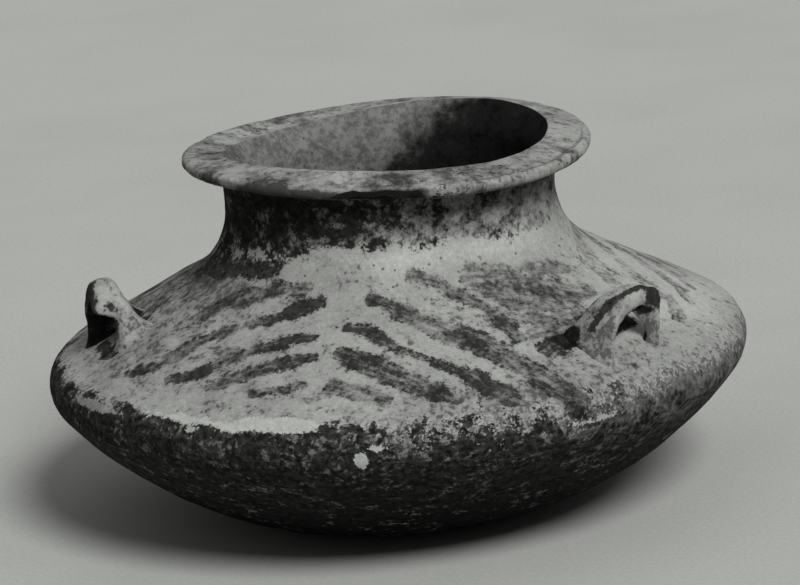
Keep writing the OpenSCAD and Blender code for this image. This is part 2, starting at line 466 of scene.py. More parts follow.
# %% Small moves
SEED_STRIDE = 31.7
DENTS = ((0.32, 26, 1), (0.2, 9, 2), (0.06, 3.5, 3))
SCRAPES = ((0.08, 3.2, 4),)
SCRAPE_STRETCH = (0.16, 0.16, 1)
PIT_COUNT, PIT_SEED = 200, 11
PIT_SMALL, PIT_LARGE, PIT_RARITY = 0.8, 2.2, 3
PIT_DEPTH, PIT_FLOOR = 0.3, 0.2


def lumps(points, size, seed):
    """Smooth noise of about -1 to 1 at points in mm, with lumps of the given size"""
    return np.array([noise.noise(p) for p in (points / size + seed * SEED_STRIDE).tolist()])


def layered(points, parts):
    """A sum of such noises; each part has a height, a size and a seed"""
    return sum(height * lumps(points, size, seed) for height, size, seed in parts)


def relief(points):
    """Small dents and scrape marks, in mm along the skin's normal"""
    return layered(points, DENTS) + layered(points * SCRAPE_STRETCH, SCRAPES)


rng = np.random.default_rng(PIT_SEED)
outer_line = np.vstack([smooth_run(outer_run(node), OUTSIDE_STEP)[0] for node in OUTER_ORDER])
by_area = outer_line[:, 0] / outer_line[:, 0].sum()
pit_rows = outer_line[rng.choice(len(outer_line), PIT_COUNT, p=by_area)]
pit_turns = rng.uniform(0, 2 * pi, PIT_COUNT)
pit_radius = PIT_SMALL + (PIT_LARGE - PIT_SMALL) * rng.random(PIT_COUNT) ** PIT_RARITY
pit_x, pit_y = pit_rows[:, 0] * np.cos(pit_turns), pit_rows[:, 0] * np.sin(pit_turns)
pit_places = np.stack([pit_x, pit_y, pit_rows[:, 1]], axis=1)


def pits(points):
    """How deep in a pit each point lies, from 0 to 1"""
    depth = np.zeros(len(points))
    for centre, radius in zip(pit_places, pit_radius):
        near = np.nonzero(np.abs(points - centre).max(axis=1) < radius)[0]
        away = np.linalg.norm(points[near] - centre, axis=1) / radius
        depth[near] = np.maximum(depth[near], ease(1, PIT_FLOOR, away))
    return depth


print(PIT_COUNT, "pits of", PIT_SMALL, "to", PIT_LARGE, "mm radius")

# %% [markdown]
# ## The shoulder laid flat
#
# The shoulder is a cone, and a cone can be cut open and laid flat without stretching. On that sheet the
# distance from a point to a stroke is a plain distance, so every stroke keeps its width. The straight part
# of the shoulder's outline gives the slope, and how far up the wall the cone's tip would lie.

# %% Unroll the cone
outer = outer_run("shoulder")
straight = np.argmax(np.linalg.norm(np.diff(outer, axis=0), axis=1))
cone_low, cone_high = outer[straight], outer[straight + 1]
cone_fall = (cone_high[1] - cone_low[1]) / (cone_low[0] - cone_high[0])
cone_up = np.array([cone_fall, 1]) / np.hypot(cone_fall, 1)
cone_share = cone_up[1]
cone_tip = cone_low[0] / cone_share + climb_start["shoulder"] + lengths(outer)[straight]


def unrolled(angle, climb):
    """Place on the flattened cone, in mm, of an angle in degrees and a climb"""
    reach, swing = cone_tip - climb, np.radians(angle) * cone_share
    return np.stack([reach * np.cos(swing), reach * np.sin(swing)], axis=-1)


print("the cone's tip would lie at a climb of", round(cone_tip, 1), "mm")

# %% [markdown]
# ## The painting
#
# On each of the three panels between the lugs the painter left a bare spine and brushed a fan of strokes
# down from it to both sides. Each stroke is a short line of points on the wall: degrees from the spine,
# climb and half width in millimetres, and how loaded the brush was there. A load above one is thick and
# black. The front panel has a few marks of its own: a spill by the neck, and painted shadow on the ground
# under its two lugs.
# The shader could draw the strokes, but a distance that is stored on the mesh bakes and exports well. The
# shader then only roughens the edges, and the place across and along a stroke gives it the bristles' streaks.

# %% Strokes
FRONT = np.degrees(VIEW_AZIMUTH) - 90
PANEL_SPINES = (-16.5, 105.75, 223.0)
PANEL_SPAN = (1.0, 0.94, 0.92)
PANEL_LOAD = (1.0, 0.45, 0.85)
ON_FRONT = (
    ((-73, 66, 5.5, 0.85), (-62, 70, 5, 0.85), (-50, 73, 3.5, 0.95), (-30, 76, 3, 1), (-26, 79, 1.5, 1)),
    # Painted shadow on the shoulder under the left lug.
    ((-64, 26, 2.5, 1), (-57, 26, 3, 1.1), (-54, 26, 1.5, 1)),
    # Painted shadow on the shoulder under the right lug.
    ((62, 33, 3, 1.1), (67, 34, 3.5, 1.2), (71, 34, 3, 1.1)),
)
LEFT_FAN = (
    ((-10, 71, 1.5, 0.45), (-22, 70, 2.5, 0.65), (-35, 63, 3.5, 0.65), (-41, 55, 3.5, 0.55),
     (-45, 46, 2.5, 0.4)),
    ((-5, 67, 2.5, 1), (-12, 63, 3, 1), (-18, 58, 2.5, 0.9), (-25, 53, 2, 0.6), (-29, 49, 3, 0.75),
     (-33, 44, 2.5, 0.6), (-36, 36, 3, 0.65), (-38, 31, 2, 0.4)),
    ((-3, 52, 1.5, 0.95), (-7, 51, 2.5, 1), (-14, 46, 2, 0.9), (-18, 42, 2, 0.65), (-23, 36, 3, 0.8),
     (-26, 30, 2.5, 0.95), (-32, 24, 1.5, 0.8)),
    ((-2, 43, 1.5, 0.6), (-8, 39, 3, 0.75), (-13, 35, 3, 0.75), (-18, 29, 3, 0.75), (-22, 24, 1.5, 0.6)),
    ((-2, 30, 1.5, 0.6), (-6, 27, 2, 0.75), (-12, 24, 1, 0.5)),
    ((-44, 23, 2, 0.85), (-40, 26, 2.5, 0.9), (-36, 31, 2.5, 0.6), (-34, 36, 2, 0.4)),
)
RIGHT_FAN = (
    ((8, 68, 1, 0.7), (15, 64, 3, 0.75), (22, 56, 3.5, 0.65), (29, 48, 5, 0.65), (34, 42, 5.5, 0.7),
     (38, 34, 4.5, 0.75), (41, 24, 4.5, 0.65), (43, 15, 4.5, 0.7), (45, 6, 4, 0.6)),
    ((4, 56, 2, 0.9), (9, 54, 2.5, 0.9), (12, 50, 2.5, 0.8), (15, 46, 2, 0.95), (19, 42, 1, 0.85),
     (24, 36, 2, 0.9), (27, 31, 2, 0.95), (30, 27, 3.5, 1), (32, 21, 4, 0.85), (35, 13, 3.5, 0.7)),
    ((3, 45, 2.5, 0.8), (8, 40, 4.5, 0.9), (14, 33, 4.5, 0.8), (20, 26, 3.5, 0.7), (23, 22, 3.5, 0.75),
     (26, 17, 2, 0.5)),
    ((3, 29, 3, 0.45), (9, 25, 4, 0.5), (14, 21, 3, 0.5)),
    ((22, 20, 2, 0.95), (23, 20, 2, 0.95)),
    ((20, 75, 1, 0.4), (29, 72, 2, 0.7), (32, 68, 2.5, 0.6), (39, 60, 2, 0.7), (42, 50, 2, 0.6),
     (43, 40, 3, 0.6)),
    ((38, 72, 3.5, 0.3), (46, 70, 4.5, 0.35), (55, 68, 4, 0.4), (67, 67, 2.5, 0.35), (74, 64, 2, 0.15)),
    ((42, 64, 3, 0.25), (50, 61, 6.5, 0.35), (59, 59, 7.5, 0.55), (66, 53, 5, 0.5), (72, 52, 3, 0.2)),
    ((46, 52, 4, 0.3), (52, 50, 6, 0.35), (58, 47, 6, 0.5), (63, 46, 4, 0.6)),
    ((46, 41, 3, 0.35), (51, 41, 4, 0.4), (56, 41, 5, 0.65), (61, 42, 4, 0.9)),
    ((46, 32, 3.5, 0.8), (50, 35, 4.5, 1.1), (56, 37, 4.5, 1.2), (61, 40, 3, 1.2), (65, 42, 3, 1.2)),
)
print(len(LEFT_FAN + RIGHT_FAN), "strokes on each of", len(PANEL_SPINES), "panels")

# %% Brush
BLUNT, BLEED = 2.2, 0.4
FAR_OFF = -20.0


def degrees_from(origin, angle):
    """The angle measured from an origin, from -180 to 180 degrees"""
    return (angle - origin + 180) % 360 - 180


def brush_along(stroke, span, place):
    """One stroke, stretch by stretch: mm inside its edge, its load, and mm across and along it"""
    points = np.array(stroke)
    line = unrolled(points[:, 0] * span, points[:, 1])
    widths_and_loads = points[:, 2:, None]
    gone = 0.0
    for start, end, first, last in zip(line, line[1:], widths_and_loads, widths_and_loads[1:]):
        way = end - start
        length = np.linalg.norm(way)
        along = (place - start) @ way / length ** 2
        t = np.clip(along, 0, 1)
        half_width, load = first + t * (last - first)
        across = (place - start) @ (way[1], -way[0]) / length
        inside = half_width + BLEED - np.hypot(across, BLUNT * (along - t) * length)
        yield inside, load, across, gone + along * length
        gone += length


def brushed(angle, climb):
    """For each point, mm inside the nearest stroke's edge, its load, and mm across and along it"""
    nearest = np.zeros((4, len(angle)))
    nearest[0] = FAR_OFF
    for spine, span, strength in zip(PANEL_SPINES, PANEL_SPAN, PANEL_LOAD):
        place = unrolled(degrees_from(spine, angle), climb)
        strokes = LEFT_FAN + RIGHT_FAN + (ON_FRONT if spine == PANEL_SPINES[0] else ())
        for stroke in strokes:
            for inside, load, across, along in brush_along(stroke, span, place):
                better = inside > nearest[0]
                for row, value in zip(nearest, (inside, strength * load, across, along)):
                    row[better] = value[better]
    return nearest


print("brush ready, with", len(ON_FRONT), "more marks on the front panel")

# %% [markdown]
# ## Borders of slip and wash
#
# The slip ends just above the widest part, and the dark wash on the neck ends above the shoulder. Both
# borders wander round the jar, crisp in one place and rubbed away over a finger's width in another. Below
# the slip, traces of it and of bare clay are left. An image could be painted for this, but a few pairs of
# angle and value round the jar say the same, and each becomes a mesh attribute that the finishes read.

# %% Borders
SLIP_EDGE = ((-120, 10), (-79, 10), (-58, 9.5), (-45, 9.5), (-34, 8.5), (-23, 7.5), (-16, 9.5), (-7, 9),
             (5, 7), (18, 5), (25, 4.5), (30, 5.5), (41, 7), (56, 6), (73, 2), (130, 9), (180, 10))
SLIP_FADE = ((-120, 4), (-70, 2.5), (-50, 1), (-16, 1), (-4, 5), (10, 8), (30, 8), (45, 5), (70, 6),
             (130, 4), (180, 4))
SLIP_TRACE = ((-120, 0.5), (-70, 0.35), (-40, 0.6), (-15, 0.8), (35, 0.85), (45, 1.2), (75, 1.5),
              (130, 0.7), (180, 0.6))
TRACE_PATCHES, TRACE_REACH = ((0.4, 13, 15),), 24.0
BARE_CLAY = ((-120, 0.2), (-70, 0.05), (20, 0.1), (32, 0.45), (45, 0.9), (80, 1.0), (130, 0.5), (180, 0.3))
BARE_REACH = 11.0
NECK_EDGE = ((-150, 86), (-100, 80), (-80, 75), (-62, 77), (-43, 79), (-33, 82), (-22, 85), (8, 84.5),
             (29, 84.5), (57, 82), (80, 82), (140, 86))
NECK_FADE = ((-150, 3), (-80, 6), (-48, 5), (-35, 2), (10, 2), (30, 3), (75, 4), (140, 3))
NECK_LOAD = ((-150, 0.9), (-75, 1.1), (-60, 1.1), (-35, 1.08), (-15, 0.92), (8, 0.78), (30, 0.42),
             (60, 0.3), (90, 0.5), (140, 0.85))
# Painted shade: the wash is made darker near the top of the neck, under the rim.
NECK_SHADE, NECK_SHADED = 0.15, (90.0, 98.0)
BORDER_RAGGED = ((2.0, 14, 5), (1.0, 5, 6))
LEDGE_FROM = 108.0
WELL_IN = 40.0


class Skin:
    """The points of a wall before its handwork, and where they lie on the jar"""

    def __init__(self, points, climb, outside):
        self.points, self.climb, self.outside = points, climb, outside
        self.angle = degrees_from(FRONT, np.degrees(np.arctan2(points[:, 1], points[:, 0])))
        self.on_ledge = outside & (climb > LEDGE_FROM)
        self.ragged = layered(points, BORDER_RAGGED)

    def around(self, pairs):
        """The value at each point's angle from the camera, from a few pairs round the jar"""
        places, values = zip(*pairs)
        return np.interp(self.angle, places, values, period=360)


def border_marks(skin):
    """Signed distances from the borders in mm, how soft the borders are, and what is left below them"""
    border = skin.climb - skin.around(SLIP_EDGE) + skin.ragged
    below = np.minimum(border, 0)
    trace = skin.around(SLIP_TRACE) + layered(skin.points, TRACE_PATCHES)
    wash = skin.climb - skin.around(NECK_EDGE) + skin.ragged
    return {
        "slip": np.where(skin.outside, border, WELL_IN),
        "slip_fade": skin.around(SLIP_FADE),
        "trace": np.where(skin.outside, trace * np.exp(below / TRACE_REACH), 0.0),
        "bare": np.where(skin.outside, skin.around(BARE_CLAY) * np.exp(below / BARE_REACH), 0.0),
        "neck_wash": np.where(skin.outside & ~skin.on_ledge, wash, -WELL_IN),
        "wash_fade": skin.around(NECK_FADE),
        "wash_load_and_shade": skin.around(NECK_LOAD) + NECK_SHADE * ease(*NECK_SHADED, skin.climb),
    }


print("slip border at", len(SLIP_EDGE), "places and neck border at", len(NECK_EDGE))

# %% [markdown]
# ## Dirt, painted shading, flakes and strokes
#
# Dirt gathers in patches, each with a centre, a reach both ways and a strength. The large patch on the left
# of the shoulder is dirt and painted shade. A negative patch lightens the slip, as painted light on the band
# below the neck and on the right of the shoulder. Below its border the slip clings in single flakes. They are
# soft spots and sharp-edged ellipses on the wall, and with the strokes they are stored on the mesh. Paint
# that is thick enough to be black darkens like a pit.

# %% Dirt and paint
DIRT_BASE, DIRT_DRIFT, DIRT_INSIDE = 0.12, ((0.35, 30, 13),), 0.4
# Each patch: angle, climb, reach in degrees and in mm, strength. The patch at -60 degrees is dirt and painted
# shade; the negative ones at 10 and 80 degrees are painted light.
DIRT_AND_SHADING_PATCHES = ((-60, 45, 26, 30, 0.8), (-70, 67, 24, 9, 1.6), (40, 57, 18, 15, 0.7), (20, 16, 24, 10, 1.3),
                (-66, 24, 14, 10, 0.4), (-70, 13, 12, 5, -0.6), (10, 80, 45, 7, -0.6), (80, 38, 28, 30, -0.4))
FLAKES = ((-38, 9.8, 8, 1.5, 1.0), (-29, 9.2, 7, 1.9, 1.0), (-21, 10.8, 8, 3.3, 1.0), (-60, 6.6, 7, 1.6, 0.5),
          (-7, -1.5, 1.1, 3.0, 1.0), (-5, 1.7, 1.4, 0.9, 0.9), (31, 0.6, 3.5, 0.8, 0.8),
          (-36, 6.6, 0.9, 1.7, 0.8))
PAINT_TOP = 95.0
BLACK_LOAD, BLACK_EDGE = (1.0, 1.15), (-0.5, 1.0)


def patches(skin):
    """How much dirt and painted shading lies at each point; below zero is painted light"""
    total = np.zeros(len(skin.angle))
    for place, height, wide, tall, strength in DIRT_AND_SHADING_PATCHES:
        away = degrees_from(place, skin.angle) / wide
        total += strength * np.exp(-away ** 2 - ((skin.climb - height) / tall) ** 2)
    return total


def flakes(skin):
    """Distance in mm inside the nearest clinging flake of slip, and how thick that flake is"""
    inside, thick = np.full(len(skin.angle), FAR_OFF), np.zeros(len(skin.angle))
    for place, height, wide, tall, load in FLAKES:
        away = np.hypot(degrees_from(place, skin.angle) / wide, (skin.climb - height) / tall)
        depth = tall * (1 - away)
        better = depth > inside
        inside[better], thick[better] = depth[better], load
    return inside, thick


def paint_marks(skin):
    """Distances inside the strokes and flakes in mm, their loads, the dirt with painted light and shade, and
    the pits
    """
    brush, load, across, along = brushed(skin.angle, skin.climb)
    flake, flake_load = flakes(skin)
    dirt_and_shading = DIRT_BASE + layered(skin.points, DIRT_DRIFT) + patches(skin)
    black = ease(*BLACK_LOAD, load) * ease(*BLACK_EDGE, brush) * skin.outside
    return {
        "brush": np.where(skin.outside & (skin.climb < PAINT_TOP), brush, FAR_OFF),
        "load": load,
        "across": across,
        "run": along,
        "flake": np.where(skin.outside, flake, FAR_OFF),
        "flake_load": flake_load,
        "dirt_and_shading": np.where(skin.outside, dirt_and_shading, DIRT_INSIDE),
        "pit": np.maximum(pits(skin.points), black),
    }


print(len(FLAKES), "flakes and", len(DIRT_AND_SHADING_PATCHES), "patches of dirt")

# %% [markdown]
# ## Stains and painted shade round the mouth
#
# The ledge is stained, darkest on the front of its lip, where painted shade under the lip adds to the stain.
# One side of the mouth's wall is blackened with painted shade. It has two soft borders round the mouth,
# one of them slanting, and it thins out deep inside the jar. It could be left to shadow, but then it would
# vanish under other light.

# %% Mouth
STAIN = ((-150, 0.6), (-100, 0.65), (-60, 0.8), (-20, 1.1), (15, 0.9), (40, 0.25), (80, 0.0), (140, 0.4))
# Stain and painted shade on the front of the lip, where the lip turns down out of the light.
LIP_STAIN_AND_SHADE = ((-150, 0.2), (-95, 0.4), (-60, 0.9), (-30, 1.8), (8, 1.8), (14, 0.3), (60, 0.15), (140, 0.2))
LIP_HIGH, LIP_SOFT, LIP_RAGGED = 116.6, 2.0, 0.4
# Painted shade on one side of the mouth's inner wall: where it begins, is full, fades and ends, in degrees.
MOUTH_SHADE_BEGIN, MOUTH_SHADE_FULL, MOUTH_SHADE_FADING, MOUTH_SHADE_END = 40, 75, 132, 172
MOUTH_SHADE_SLANT, MOUTH_SHADE_DEPTH = 1.4, (50.0, 88.0)
MOUTH_OUT, MOUTH_IN = 55.4, 54.2
CLIMB_INSIDE = 60.0
rim_top = sections["ledge_rim"][:, 1].max()


def mouth_marks(skin):
    """Stain and painted shade on the ledge, painted shade in the mouth, and what counts as the inside"""
    radius, height = np.hypot(*skin.points[:, :2].T), skin.points[:, 2]
    lip = skin.climb + LIP_RAGGED * skin.ragged
    on_lip = ease(LEDGE_FROM, LEDGE_FROM + LIP_SOFT, lip) * ease(LIP_HIGH, LIP_HIGH - LIP_SOFT, lip)
    stain_and_shade = skin.around(STAIN) + on_lip * skin.around(LIP_STAIN_AND_SHADE)
    slant = MOUTH_SHADE_SLANT * (rim_top - np.maximum(height, MOUTH_SHADE_DEPTH[1]))
    turn = skin.angle % 360
    mouth_shade = ease(MOUTH_SHADE_BEGIN, MOUTH_SHADE_FULL, turn) * ease(MOUTH_SHADE_END, MOUTH_SHADE_FADING, turn - slant)
    return {
        "stain_and_shade": np.where(skin.on_ledge, stain_and_shade, 0.0),
        "mouth_shade": mouth_shade * ease(*MOUTH_SHADE_DEPTH, height),
        "inner": np.where(skin.outside, ease(MOUTH_OUT, MOUTH_IN, radius) * skin.on_ledge, 1.0),
    }


def marks(points, climb, outside):
    """All mesh attributes that the finishes read"""
    skin = Skin(points, climb, outside)
    placed = {"climb": np.where(outside, climb, CLIMB_INSIDE)}
    return {**placed, **border_marks(skin), **paint_marks(skin), **mouth_marks(skin)}


# The painted shade in the mouth spans these degrees.
print("soot from", MOUTH_SHADE_BEGIN, "to", MOUTH_SHADE_END, "degrees round the mouth")

# %% [markdown]
# ## Throw each wall
#
# A lathe copies the half section round the axis. Blender's Screw modifier or bmesh's spin would do it, but
# rows and columns of points in numpy let the handwork and the paint be worked out for all points at once.
# Every wall uses the same number of columns, so neighbours meet point to point.

# %% Lathe
COLUMNS = 720
turns = np.linspace(0, 2 * pi, COLUMNS, endpoint=False)


def rows_of(node):
    """The half section's rows: place, normal, climb and kind; a corner belongs to the skin beside it"""
    rows = []
    for kind, run in profile[node]:
        curve, normals = smooth_run(run, STEPS[kind] * COARSER.get(node, 1))
        climbs = climb_start.get(node, 0) + lengths(curve)
        found = [(place, normal, climb, kind) for place, normal, climb in zip(curve, normals, climbs)]
        if rows and kind != "seat":
            rows.pop()
        rows += found[1:] if rows and kind == "seat" else found
    if np.linalg.norm(rows[0][0] - rows[-1][0]) < ON_AXIS:
        rows.pop(0 if rows[0][3] == "seat" else -1)
    return rows


def lathe(node):
    """Points, normals, climb and kind of a turned wall, row by row, and the number of rows"""
    places, normals, climbs, kinds = zip(*rows_of(node))
    ring = np.stack([np.cos(turns), np.sin(turns)], axis=1)

    def spread(pairs):
        across, along = np.array(pairs).T
        flat = across[:, None, None] * ring[None]
        return np.concatenate([flat, np.repeat(along[:, None, None], COLUMNS, axis=1)], axis=2).reshape(-1, 3)

    return spread(places), spread(normals), np.repeat(climbs, COLUMNS), np.repeat(kinds, COLUMNS), len(places)


def quads(rows, closed):
    """Faces between neighbouring rows and columns"""
    index = np.arange(rows * COLUMNS).reshape(rows, COLUMNS)
    above = np.roll(index, -1, axis=0) if closed else index[1:]
    index = index if closed else index[:-1]
    corners = [index, np.roll(index, -1, axis=1), np.roll(above, -1, axis=1), above]
    return np.stack(corners, axis=2).reshape(-1, 4)


print(COLUMNS, "columns round every wall")

# %% Walls
CRACK_DARK = 0.7
SHARP = radians(50)
RING_FROM = 3.0


def keep_on(mesh, attributes):
    """Stores one value per point on the mesh for each attribute"""
    for key, values in attributes.items():
        mesh.attributes.new(key, "FLOAT", "POINT").data.foreach_set("value", values.astype(np.float32))


def closed_mesh(name, points, faces, attributes):
    """A mesh from points in mm with its attributes, closed at the axis and smooth"""
    mesh = bpy.data.meshes.new(name)
    mesh.from_pydata((points * MM).tolist(), [], faces.tolist())
    keep_on(mesh, attributes)
    solid = bmesh.new()
    solid.from_mesh(mesh)
    poles = [v for v in solid.verts if v.co.xy.length < ON_AXIS * MM]
    bmesh.ops.remove_doubles(solid, verts=poles, dist=ON_AXIS * MM)
    bmesh.ops.recalc_face_normals(solid, faces=solid.faces)
    solid.to_mesh(mesh)
    solid.free()
    mesh.shade_smooth()
    mesh.set_sharp_from_angle(angle=SHARP)
    return mesh


def clay_piece(mesh, node):
    """The mesh as a piece that rides on the jar's one body and stands for the CAD node"""
    piece = bpy.data.objects.new("clay_" + node, mesh)
    bpy.context.collection.objects.link(piece)
    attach(piece, "root")
    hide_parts(node)
    print(piece.name, len(mesh.polygons), "faces")
    return piece


def wall(node, carve=None):
    """A turned wall with its handwork"""
    points, normals, climb, kind, rows = lathe(node)
    attributes = marks(points, climb, kind == "outside")
    skin = (kind != "seat").astype(float)
    push = skin * (relief(points) - PIT_DEPTH * attributes["pit"])
    if carve:
        points, clothed, crack = carve(points)
        attributes["slip"] = np.minimum(attributes["slip"], clothed)
        attributes["pit"] = np.maximum(attributes["pit"], CRACK_DARK * crack)
    points = shaped(points + push[:, None] * normals)
    faces = quads(rows, np.hypot(*points[0, :2]) > RING_FROM)
    return clay_piece(closed_mesh("clay_" + node, points, faces, attributes), node)


bowl = wall("base_bowl")
coil = wall("belly_seam_coil")
shoulder = wall("shoulder")
neck = wall("neck")

# %% [markdown]
# ## The chipped rim
#
# The thin lip has suffered most. A long chip is gone from under its front edge and ends in a step, small
# bites are out of the edge all round, and a crack follows the lip. The mouth's edge is crisp, because inside
# it the wall widens upwards in a flare. A bump map could hint at these, but each is a move of the rim's own
# points here, so it shows in the outline too.

# %% Rim
MOUTH_EDGE, MOUTH_FOOT, MOUTH_WIDENS = 55.5, 117.0, 1.6
CHIP_BEGIN, CHIP_FULL, CHIP_STEP, CHIP_END = -26.0, -8.0, 7.0, 9.5
CHIP_FOOT, CHIP_FOOT_Z, CHIP_RISE, CHIP_TOP = 59.0, 120.0, 0.66, 127.0
CHIP_TAPER, CHIP_GRAIN = 5.0, 0.35
CHIP_RAGGED, CHIP_SUNK = ((0.9, 7, 16),), 0.27
CHIP_BARE, CHIP_CRISP, CHIP_SPECKLED = 0.5, 14.0, 2.0
FINE_GRAIN = ((1.0, 4, 9),)
NOISE_RING = 70.0
BITES = ((1.0, 6, 10, 0.34), (0.4, 2.6, 11, 0.4))
BITE_DEPTH, BITE_FROM, BITE_FULL = 2.4, 64.0, 69.0
CRACK_RADIUS, CRACK_WANDER = 66.6, ((0.9, 17, 12),)
CRACK_WIDTH, CRACK_DEPTH, CRACK_ABOVE = 0.7, 0.55, 124.0
CRACK_BEGIN, CRACK_FULL, CRACK_FADING, CRACK_END = 20, 30, 80, 100


def flared(radius, z):
    """The mouth's wall, widened upwards to a crisp edge"""
    throat = radius.min()
    rising = np.clip((z - MOUTH_FOOT) / (rim_top - MOUTH_FOOT), 0, 1)
    flare = throat + (MOUTH_EDGE - throat) * rising ** MOUTH_WIDENS
    return np.where(radius < MOUTH_EDGE, np.maximum(radius, flare), radius)


def chipped_off(radius, z, angle, ring, fine):
    """How many mm are gone from under the front edge"""
    bed = CHIP_FOOT_Z + CHIP_RISE * (radius - CHIP_FOOT) + CHIP_GRAIN * fine
    bed += layered(ring, CHIP_RAGGED) - CHIP_SUNK
    bed -= CHIP_TAPER * (1 - ease(CHIP_BEGIN, CHIP_FULL, angle))
    within = (radius > CHIP_FOOT) & (angle > CHIP_BEGIN)
    gone = np.where(within, np.clip(np.minimum(bed, CHIP_TOP) - z, 0, None), 0)
    return gone * (1 - ease(CHIP_STEP, CHIP_END, angle))


def bitten(radius, ring):
    """The radius with large and small bites out of the edge"""
    bites = sum(share * np.clip(lumps(ring, size, seed) - above, 0, 1) for share, size, seed, above in BITES)
    return radius - BITE_DEPTH * bites * ease(BITE_FROM, BITE_FULL, radius)


def cracked(radius, z, angle, ring):
    """How deep in the crack along the lip each point lies, from 0 to 1"""
    line = CRACK_RADIUS + layered(ring, CRACK_WANDER)
    along = ease(CRACK_BEGIN, CRACK_FULL, angle) * ease(CRACK_END, CRACK_FADING, angle)
    return np.exp(-((radius - line) / CRACK_WIDTH) ** 2) * (z > CRACK_ABOVE) * along


def damaged(points):
    """The ledge with all its damage; also mm of slip left in the chip, and the crack"""
    x, y, z = points.T
    turn = np.arctan2(y, x)
    angle = degrees_from(FRONT, np.degrees(turn))
    ring = np.stack([NOISE_RING * np.cos(turn), NOISE_RING * np.sin(turn), 0 * turn], axis=1)
    fine = layered(points, FINE_GRAIN)
    radius = flared(np.hypot(x, y), z)
    gone = chipped_off(radius, z, angle, ring, fine)
    radius, z = bitten(radius, ring), z + gone
    crack = cracked(radius, z, angle, ring)
    moved = np.stack([radius * np.cos(turn), radius * np.sin(turn), z - CRACK_DEPTH * crack], axis=1)
    return moved, CHIP_CRISP * (CHIP_BARE - gone) + CHIP_SPECKLED * fine, crack


rim = wall("ledge_rim", damaged)

# %% [markdown]
# ## A lug as a lump of clay
#
# Each lug is a strap of clay, bent into an arch and pressed down at its feet until they smear into the
# shoulder. The CAD solid has the arch and the upright face, but sharp feet. A subdivision surface would need
# clean quads, so a voxel remesh turns the solid into an even skin instead, as if it were a lump of clay, and
# smoothing softens it. Each point then knows how high above the shoulder it lies, how far along the arch and
# how far in from the lug's outer face.

# %% Soften the lugs
LUG_VOXEL = 0.6 * MM
LUG_SMOOTHING = 8


def remeshed(node):
    """A copy of the solid's mesh as an even, softened skin"""
    lump = bpy.data.objects.new("lump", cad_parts[node].data.copy())
    bpy.context.collection.objects.link(lump)
    weld = lump.modifiers.new("weld", "WELD")
    weld.merge_threshold = ON_PLANE
    skin = lump.modifiers.new("skin", "REMESH")
    skin.mode = "VOXEL"
    skin.voxel_size = LUG_VOXEL
    soft = lump.modifiers.new("soft", "SMOOTH")
    soft.iterations = LUG_SMOOTHING
    ready = lump.evaluated_get(bpy.context.evaluated_depsgraph_get())
    mesh = bpy.data.meshes.new_from_object(ready)
    bpy.data.objects.remove(lump)
    return mesh


def above_cone(points):
    """Height of points above the shoulder's cone, square to it, in mm"""
    radius = np.hypot(points[:, 0], points[:, 1])
    return (points[:, 2] - cone_low[1] - (cone_low[0] - radius) * cone_fall) * cone_up[1]


class LugSkin:
    """A softened lug's points and normals, its directions, and where the points lie on it"""

    def __init__(self, mesh):
        points, normals = np.empty((2, len(mesh.vertices) * 3))
        mesh.vertices.foreach_get("co", points)
        mesh.vertex_normals.foreach_get("vector", normals)
        self.points, self.normals = points.reshape(-1, 3) / MM, normals.reshape(-1, 3)
        bearing = np.arctan2(*self.points[:, 1::-1].mean(axis=0))
        outward = np.array([cos(bearing), sin(bearing), 0])
        self.tangent = np.array([-outward[1], outward[0], 0])
        self.slope_up = np.concatenate([outward[:2] * cone_up[0], cone_up[1:]])
        self.slope_down = np.concatenate([outward[:2] * cone_up[1], -cone_up[:1]])
        self.rise, self.side = above_cone(self.points), self.points @ self.tangent
        self.inset = (self.points @ outward).max() - self.points @ outward


print("lug voxels of", round(LUG_VOXEL / MM, 1), "mm, smoothed", LUG_SMOOTHING, "times")

# %% [markdown]
# ## The hand that pressed each lug
#
# The feet are flared over the shoulder and sunk a little, and then each lug gets its own twist of the hand:
# one leans and has a thin right leg, another has its near leg pressed in under the nose. Sculpting would do
# it too, but values can be compared and changed. Pairs are for the left and the right leg: how far a foot
# spreads, how deep the leg is pressed in, its thickness and shift, and from which depth the back is
# shortened and to what share. The values from the ridge on are for the paint and the painted shade, which
# come next.

# %% Press the lugs
PLAIN_LUG = {"spread": (4.0, 4.0), "recess": (0, 0), "leg": (1.0, 1.0), "shift": (0, 0), "lean": 0.0,
             "height": 1.0, "slant": 0.0, "face": -3.0, "side": 0.0, "crevice": -10, "pit": (0, 0, 0)}
LUG_HAND = {
    "right_lug": {**PLAIN_LUG, "spread": (2.0, 0.5), "leg": (0.6, 0.25), "shift": (-4.2, 2.0), "lean": 0.22,
                  "height": 0.93, "back_from": (8, 1), "back": (0.9, 0.12), "ridge": (2.5, 1.2),
                  "slant": 0.5, "load": 1.3, "foot": 1.0, "side": 0.8, "hollow": (9, 13), "crevice": 6},
    "left_lug": {**PLAIN_LUG, "recess": (0, 7.5), "back_from": (7, 7), "back": (0.85, 0.85),
                 "ridge": (0.0, 0.0), "face": 1.4, "load": 0.95, "foot": 0.7, "hollow": (-2, 0),
                 "pit": (5, 13.5, 1.6)},
    "back_lug": {**PLAIN_LUG, "recess": (0, 2.0), "leg": (0.85, 1.0), "lean": -0.1, "back_from": (9, 9),
                 "back": (0.8, 0.7), "ridge": (4.0, 4.0), "load": 0.85, "foot": 0.6, "hollow": (4, 10)},
}
FOOT_HEIGHT, FOOT_SINK, FOOT_CURVE = 6.0, 1.7, 3
OPENING_HALF = 7.5
CROWN_HALF, SHIFT_FROM, SHIFT_FULL = 3.0, 2.0, 6.0
RECESS_LOW, RECESS_HIGH, RECESS_DEPTH = 8.0, 15.0, 12.0


def of_legs(pair, skin):
    """The left leg's value on the left and the right leg's on the right, blended over the crown"""
    left, right = pair
    return left + (right - left) * ease(-CROWN_HALF, CROWN_HALF, skin.side)


